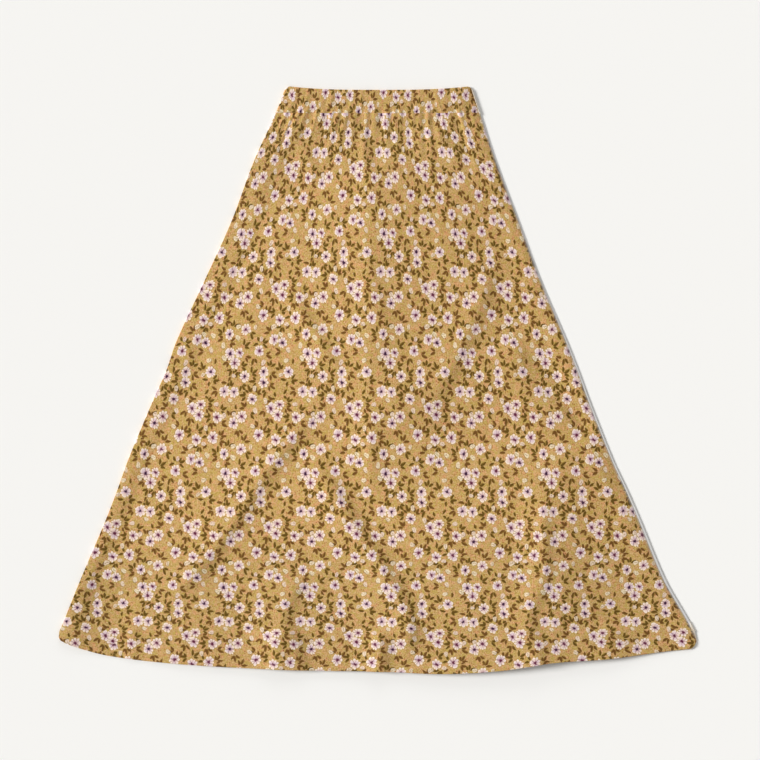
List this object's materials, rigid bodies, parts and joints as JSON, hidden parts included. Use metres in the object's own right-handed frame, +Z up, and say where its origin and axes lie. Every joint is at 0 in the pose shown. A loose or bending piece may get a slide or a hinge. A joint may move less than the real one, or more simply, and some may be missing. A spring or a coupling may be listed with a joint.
{
  "type": "a-line midi skirt",
  "caption": "Elastic-waist A-line midi skirt laid flat: gathered waistband casing over flaring front and back panels with soft folds.",
  "frame": {"origin": "under the middle of the skirt's box, on the surface that it lies on", "axes": "+Z up, out of the front of the skirt; +Y towards the waist; +X to the right of someone who looks down at the front"},
  "size_m": [0.9148, 0.8384, 0.0112],
  "materials": {
    "printed_cloth": "matte plain-woven cloth in mustard with a ditsy floral print in pale pink, plum and olive"
  },
  "bodies": {
    "root": {"front_panel": "printed_cloth", "back_panel": "printed_cloth", "waistband_front": "printed_cloth", "waistband_back": "printed_cloth"}
  },
  "joints": []
}
